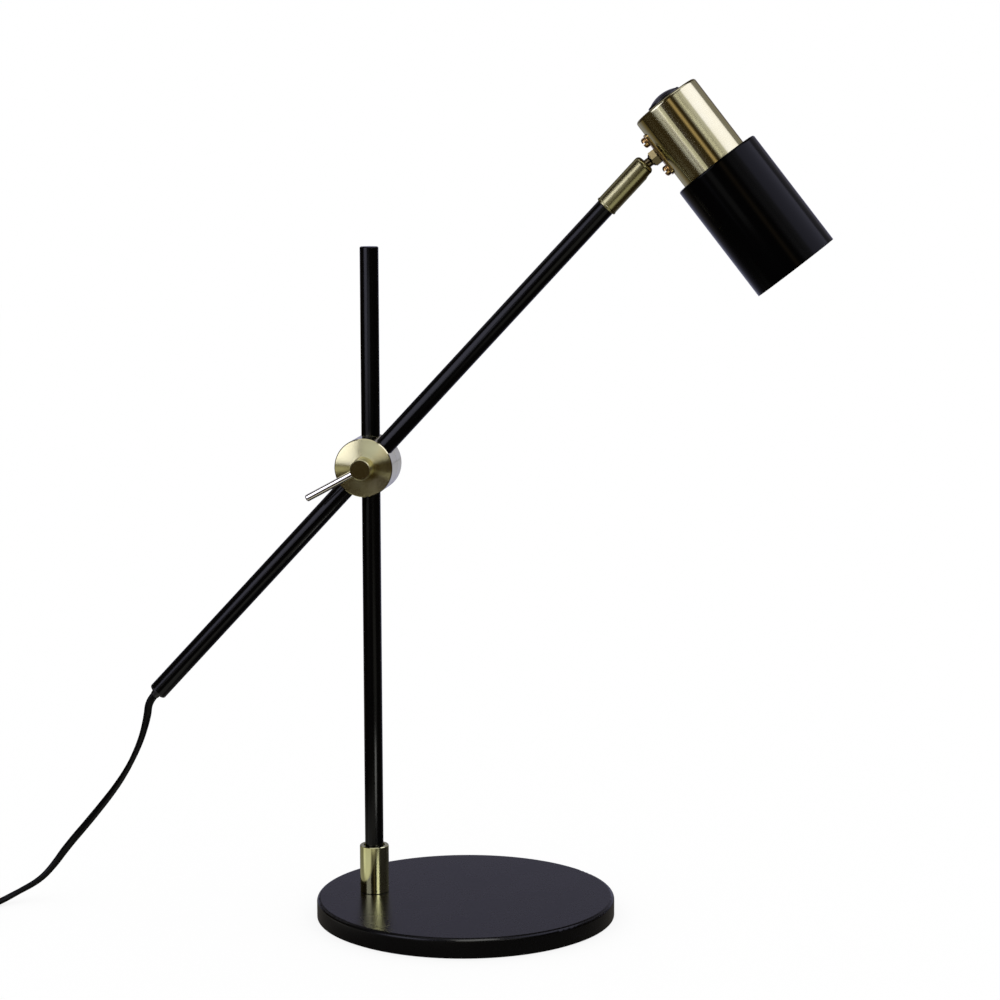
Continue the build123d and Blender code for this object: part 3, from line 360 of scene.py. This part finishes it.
CORD_WIDTH = 0.0054
CORD_THICKNESS = 0.0039
CORD_DIAMETER = 0.005
GROOVE_DEPTH = 0.22
FLEX_SIDES = 20
LINE_STEPS = 6
NOZZLE_REACH = 0.2200
NOZZLE_END = HUB_CENTRE - ARM_AXIS * NOZZLE_REACH
CORD_INSET = 0.0008
CORD_FIRST_RUN = 0.0063
CORD_START = NOZZLE_END + ARM_AXIS * CORD_INSET
CORD_REST = CORD_DIAMETER / 2
COIL_CENTRE = Vector((-0.3784, -0.0737, 0))
COIL_OUTER_RADIUS = 0.0428
COIL_STEP = 0.0066
COIL_HALF_TURNS_IN = 8
COIL_LAYER = 0.0066
COIL_LAST_RADIUS = 0.054
COIL_LIFT = 0.0015
COIL_BOTTOM = CORD_REST + COIL_LIFT
COIL_LEAD_IN = 0.014
COIL_POINTS = 12
PLUG_AXIS = 0.007
COIL_ENTRY = COIL_CENTRE + Vector((COIL_OUTER_RADIUS, CORD_DIAMETER, COIL_BOTTOM))
CORD_LANDING = Vector((-0.3175, -0.0147, 0.0063))
CORD_ROUTE = [
    CORD_START,
    NOZZLE_END - ARM_AXIS * CORD_FIRST_RUN,
    Vector((-0.2191, -0.0172, 0.1365)),
    Vector((-0.2255, -0.0158, 0.1160)),
    Vector((-0.2400, -0.0110, 0.0900)),
    Vector((-0.2634, -0.0040, 0.0613)),
    Vector((-0.2848, 0.0005, 0.0370)),
    Vector((-0.2945, -0.0006, 0.0233)),
    Vector((-0.3034, -0.0058, 0.0134)),
    CORD_LANDING,
    Vector((-0.3265, -0.0266, CORD_REST)),
    Vector((-0.3333, -0.0400, CORD_REST)),
    COIL_ENTRY + Vector((0, COIL_LEAD_IN, 0)),
    COIL_ENTRY,
]

# Where the flex has turned its flat side by a quarter more, as lengths along it and degrees
TWIST_PLACES = (0.0, 0.030, 0.115, 0.21)
TWIST_ANGLES = (90, 180, 270, 360)


def coil_points():
    """Control points of the coil: half circles that spiral in, climb a layer, spiral out to the plug."""
    radii = [COIL_OUTER_RADIUS - turn * COIL_STEP / 2 for turn in range(COIL_HALF_TURNS_IN + 1)]
    heights = [COIL_BOTTOM] * len(radii)
    radii += radii[:0:-1] + [COIL_LAST_RADIUS]
    heights += [COIL_BOTTOM + COIL_LAYER] * COIL_HALF_TURNS_IN + [PLUG_AXIS]
    ends = []
    for turn, (radius, height) in enumerate(zip(radii, heights)):
        side = 1 if turn % 2 == 0 else -1
        ends.append(COIL_CENTRE + Vector((side * radius, 0, height)))
    points = [ends[0]]
    for turn, (start, end) in enumerate(zip(ends, ends[1:])):
        middle = (start + end) / 2
        bulge = Vector((0, -1 if turn % 2 == 0 else 1, 0)) * (end - start).length / 2
        for step in range(1, COIL_POINTS + 1):
            angle = math.pi * step / COIL_POINTS
            points.append(middle + (start - middle) * math.cos(angle) + bulge * math.sin(angle))
    points.append(ends[-1] + Vector((0, CORD_DIAMETER, 0)))
    return points


def smooth_line(points):
    """Points along one NURBS curve that has the given control points."""
    curve = bpy.data.curves.new("route", "CURVE")
    curve.dimensions = "3D"
    curve.resolution_u = LINE_STEPS
    spline = curve.splines.new("NURBS")
    spline.points.add(len(points) - 1)
    for control, point in zip(spline.points, points):
        control.co = (*point, 1)
    spline.order_u = 3
    spline.use_endpoint_u = True
    holder = bpy.data.objects.new("route", curve)
    mesh = bpy.data.meshes.new_from_object(holder)
    line = np.array([vertex.co for vertex in mesh.vertices])
    bpy.data.objects.remove(holder)
    bpy.data.curves.remove(curve)
    bpy.data.meshes.remove(mesh)
    return line


def run_lengths(line):
    """Distance along a line to each of its points."""
    steps = np.linalg.norm(np.diff(line, axis=0), axis=1)
    return np.concatenate([[0.0], np.cumsum(steps)])


def cross_frames(line, twist):
    """Two directions across a line at each point, level at first and then turned by the twist."""
    tangent = np.gradient(line, axis=0)
    tangent /= np.linalg.norm(tangent, axis=1)[:, None]
    level = np.cross(tangent, np.array(UP))
    level /= np.linalg.norm(level, axis=1)[:, None]
    upright = np.cross(level, tangent)
    turn_cos = np.cos(twist)[:, None]
    turn_sin = np.sin(twist)[:, None]
    return level * turn_cos + upright * turn_sin, upright * turn_cos - level * turn_sin


def grid_mesh(name, points):
    """Mesh of rings joined in order, with both ends closed; points is (rings, sides, 3)."""
    rings, sides, _ = points.shape
    index = np.arange(rings * sides).reshape(rings, sides)
    after = np.roll(index, -1, axis=1)
    faces = np.stack([index[:-1], after[:-1], after[1:], index[1:]], axis=-1).reshape(-1, 4).tolist()
    faces += [index[0, ::-1].tolist(), index[-1].tolist()]
    mesh = bpy.data.meshes.new(name)
    mesh.from_pydata(points.reshape(-1, 3).tolist(), [], faces)
    mesh.polygons.foreach_set("use_smooth", [True] * len(mesh.polygons))
    piece = bpy.data.objects.new(name, mesh)
    bpy.context.scene.collection.objects.link(piece)
    return piece


def flex_section(sides):
    """Outline of flat twin flex: two round cores side by side, with a shallow groove between them.

    Across, it is half the width times the cosine of an angle. Its height is a core's circle past the core's
    middle and the core's radius before it, less a share that grows with the square towards the groove.
    """
    angle = np.linspace(0, 2 * math.pi, sides, endpoint=False)
    wide = CORD_WIDTH / 2
    core = CORD_THICKNESS / 2
    across = wide * np.cos(angle)
    from_core = np.clip(np.abs(across) - (wide - core), 0, core)
    groove = GROOVE_DEPTH * np.clip(1 - np.abs(across) / (wide - core), 0, 1) ** 2
    return across, np.sign(np.sin(angle)) * np.sqrt(core**2 - from_core**2) * (1 - groove)


def flat_cord(line):
    """Twin flex swept along the line: the section turns from edge-on at the bush to flat on the table.

    Each point is the line's own, moved by the outline's two distances in the two directions across the line.
    """
    length = run_lengths(line)
    twist = np.radians(np.interp(length, TWIST_PLACES, TWIST_ANGLES))
    side, flat = cross_frames(line, twist)
    across, thick = flex_section(FLEX_SIDES)
    points = line[:, None] + side[:, None] * across[None, :, None] + flat[:, None] * thick[None, :, None]
    return grid_mesh("cord", points)


def add_cord(sheath):
    """Swept cord in place of the CAD cord pieces; the plug and the tie that lie on it stay CAD pieces."""
    line = smooth_line(CORD_ROUTE + coil_points())
    cord = flat_cord(line)
    cord.data.materials.append(sheath)
    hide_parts("cord_free", "cord_coil")
    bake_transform(cord)


# Studio. Each panel of the room is (azimuth, elevation, half width, half height, red, green, blue),
# with the angles in degrees from the viewer's side
PANELS = [
    (90, 45, 35.5, 16, 1.30, 1.30, 1.75),
    (140, 28, 16, 14, 0.22, 0.22, 0.26),
    (39, 31, 16.2, 13, 0.34, 0.34, 0.36),
    (49, 34, 6, 8, 0.26, 0.26, 0.28),
    (42, 15, 8, 4, 2.6, 2.6, 2.5),
    (9.7, 10.4, 3.6, 7, 0.62, 0.46, 0.25),
    (-175, 17, 32, 11, 0.20, 0.20, 0.28),
    (-175, 1, 40, 6, 0.38, 0.40, 0.62),
    (-53, 41, 3.4, 3.4, 3.0, 3.0, 3.0),
    (-125, 40, 18, 16, 0.25, 0.25, 0.28),
    (0, 84, 180, 18, 0.6, 0.6, 0.7),
]
PANEL_EDGE = 3.0
SURROUND = (0.030, 0.021, 0.010)

# Cards on the table, which only reflections see: (x, y, radius in x, radius in y, red, green, blue)
CARDS = [
    (-0.21, -0.13, 0.11, 0.11, 0.52, 0.52, 0.48),
    (-0.24, 0.05, 0.11, 0.13, 0.16, 0.16, 0.14),
    (-0.05, -0.25, 0.12, 0.08, 0.55, 0.54, 0.48),
    (0.00, 0.00, 0.17, 0.17, 0.08, 0.08, 0.08),
    (-1.40, -2.00, 0.60, 1.00, 0.45, 0.44, 0.36),
    (0.50, -0.85, 0.26, 0.50, 0.52, 0.52, 0.45),
    (-0.05, 3.60, 1.60, 3.10, 0.38, 0.40, 0.58),
    (-0.62, 0.45, 0.20, 0.28, 0.09, 0.07, 0.02),
]
CARD_EDGE = 0.18
FLOOR_HALF = 6.0
FLOOR_GLOW = 0.85

# Lamps that only reflections see: (aim, azimuth, elevation, distance, width, height, level, colour,
# axis of the height, beam in degrees)
COLLAR_FOOT = 0.014
COLLAR_AIM = MAST_FOOT + UP * COLLAR_FOOT
CUP_STATION = 0.028
CUP_AIM = CUP_REAR + HEAD_AXIS * CUP_STATION
LAMPS = {
    "softbox": (HUB_CENTRE, -37.0, 19.0, 1.05, 0.72, 0.85, 1.7, (1.0, 1.0, 1.3), UP, 180),
    "hub_card": (HUB_CENTRE, -1.0, 12.0, 0.28, 0.122, 0.118, 0.76, (1.0, 1.05, 1.25), UP, 120),
    "collar_card": (COLLAR_AIM, 37.0, 17.0, 0.16, 0.05, 0.06, 4.6, (1.0, 1.0, 0.95), UP, 180),
    "cup_card": (CUP_AIM, -19.2, -11.5, 0.25, 0.055, 0.16, 0.48, (1.0, 1.0, 0.95), HEAD_AXIS, 70),
}


def studio_lamp(name, aim, azimuth, elevation, distance, width, height, level, colour, lengthwise, beam):
    """Area lamp that faces a point; a level of 1 looks as bright as white in the middle of its beam."""
    half_beam = math.radians(beam) / 2
    turn = math.radians(azimuth)
    rise = math.radians(elevation)
    away = Vector((math.sin(turn) * math.cos(rise), -math.cos(turn) * math.cos(rise), math.sin(rise)))
    data = bpy.data.lights.new(name, "AREA")
    data.shape = "RECTANGLE"
    data.size = width
    data.size_y = height
    data.color = colour
    data.spread = math.radians(beam)
    data.energy = math.pi * width * height * level * (1 - half_beam / math.tan(half_beam))
    lamp = bpy.data.objects.new(name, data)
    bpy.context.scene.collection.objects.link(lamp)
    sideways = lengthwise.cross(away).normalized()
    facing = Matrix((sideways, away.cross(sideways), away)).transposed().to_4x4()
    lamp.matrix_world = Matrix.Translation(aim + away * distance) @ facing
    lamp.visible_camera = False
    lamp.visible_diffuse = False


def studio_world():
    """White to the camera, even light on the object, and soft panels in a dim room for reflections."""
    world = bpy.data.worlds.new("studio")
    bpy.context.scene.world = world
    world.use_nodes = True
    # Sampled as a lamp, the world would light the metal with the white that is meant for the paint
    world.cycles.sampling_method = "NONE"
    tree = world.node_tree
    tree.nodes.clear()
    direction = add(tree, "ShaderNodeTexCoord").outputs["Generated"]
    axes = add(tree, "ShaderNodeSeparateXYZ", None, {0: direction})
    back = calc(tree, "MULTIPLY", axes.outputs["Y"], -1.0)
    turn = calc(tree, "DEGREES", calc(tree, "ARCTAN2", axes.outputs["X"], back))
    rise = calc(tree, "DEGREES", calc(tree, "ARCSINE", axes.outputs["Z"]))
    total = SURROUND
    for azimuth, elevation, half_width, half_height, *colour in PANELS:
        gap = calc(tree, "WRAP", calc(tree, "SUBTRACT", turn, azimuth), 180.0, -180.0)
        width = calc(tree, "ABSOLUTE", gap)
        height = calc(tree, "ABSOLUTE", calc(tree, "SUBTRACT", rise, elevation))
        level = 1.0
        for size, half in ((width, half_width), (height, half_height)):
            inside = spread(tree, size, half - PANEL_EDGE, half + PANEL_EDGE, 1.0, 0.0, True)
            level = calc(tree, "MULTIPLY", inside, level)
        light = add(tree, "ShaderNodeVectorMath", {"operation": "SCALE"}, {0: colour, 3: level}).outputs[0]
        total = vector(tree, "ADD", light, total)
    studio = add(tree, "ShaderNodeBackground", None, {"Color": total, "Strength": 1.0})
    white = add(tree, "ShaderNodeBackground", None, {"Color": (1, 1, 1, 1), "Strength": 1.0})
    rays = add(tree, "ShaderNodeLightPath").outputs
    inputs = {0: rays["Is Glossy Ray"], 1: white.outputs[0], 2: studio.outputs[0]}
    final = add(tree, "ShaderNodeMixShader", None, inputs)
    add(tree, "ShaderNodeOutputWorld", None, {"Surface": final.outputs[0]})


def studio_floor():
    """White table top that keeps a faint shadow; reflections see it dim, with its white cards."""
    mesh = bpy.data.meshes.new("floor")
    near, far = -FLOOR_HALF, FLOOR_HALF
    corners = [(near, near, 0), (far, near, 0), (far, far, 0), (near, far, 0)]
    mesh.from_pydata(corners, [], [(0, 1, 2, 3)])
    floor = bpy.data.objects.new("floor", mesh)
    bpy.context.scene.collection.objects.link(floor)
    material = bpy.data.materials.new("floor_white")
    material.use_nodes = True
    tree = material.node_tree
    tree.nodes.clear()
    paint = add(tree, "ShaderNodeBsdfDiffuse", None, {"Color": (1, 1, 1, 1)})
    glow = add(tree, "ShaderNodeEmission", None, {"Color": (1, 1, 1, 1), "Strength": 1.0})
    place = add(tree, "ShaderNodeTexCoord").outputs["Object"]
    total = SURROUND
    for x, y, reach_x, reach_y, *colour in CARDS:
        offset = vector(tree, "SUBTRACT", place, (x, y, 0))
        share = measure(tree, "LENGTH", vector(tree, "DIVIDE", offset, (reach_x, reach_y, 1)))
        level = spread(tree, share, 1 - CARD_EDGE, 1 + CARD_EDGE, 1.0, 0.0, True)
        light = add(tree, "ShaderNodeVectorMath", {"operation": "SCALE"}, {0: colour, 3: level}).outputs[0]
        total = vector(tree, "ADD", light, total)
    table = add(tree, "ShaderNodeEmission", None, {"Color": total, "Strength": 1.0})
    rays = add(tree, "ShaderNodeLightPath").outputs
    share = calc(tree, "MULTIPLY", rays["Is Camera Ray"], FLOOR_GLOW)
    pale = add(tree, "ShaderNodeMixShader", None, {0: share, 1: paint.outputs[0], 2: glow.outputs[0]})
    inputs = {0: rays["Is Glossy Ray"], 1: pale.outputs[0], 2: table.outputs[0]}
    final = add(tree, "ShaderNodeMixShader", None, inputs)
    add(tree, "ShaderNodeOutputMaterial", None, {"Surface": final.outputs[0]})
    mesh.materials.append(material)


def photo_camera():
    """Camera from its place, heading, pitch and roll."""
    heading, pitch, roll = map(math.radians, (CAMERA_HEADING, CAMERA_PITCH, CAMERA_ROLL))
    level = Vector((-math.sin(heading), math.cos(heading), 0))
    right = Vector((math.cos(heading), math.sin(heading), 0))
    ahead = level * math.cos(pitch) - UP * math.sin(pitch)
    upward = level * math.sin(pitch) + UP * math.cos(pitch)
    right_rolled = right * math.cos(roll) + upward * math.sin(roll)
    up_rolled = upward * math.cos(roll) - right * math.sin(roll)
    data = bpy.data.cameras.new("photo_camera")
    data.lens = CAMERA_LENS
    data.sensor_width = SENSOR_WIDTH
    camera = bpy.data.objects.new("photo_camera", data)
    bpy.context.scene.collection.objects.link(camera)
    turn = Matrix((right_rolled, up_rolled, -ahead)).transposed().to_4x4()
    camera.matrix_world = Matrix.Translation(CAMERA_PLACE) @ turn
    bpy.context.scene.camera = camera


bpy.context.scene.view_settings.view_transform = "Standard"
photo_camera()
studio_world()
for lamp_name, settings in LAMPS.items():
    studio_lamp(lamp_name, *settings)
studio_floor()
add_cord(dress_nodes())
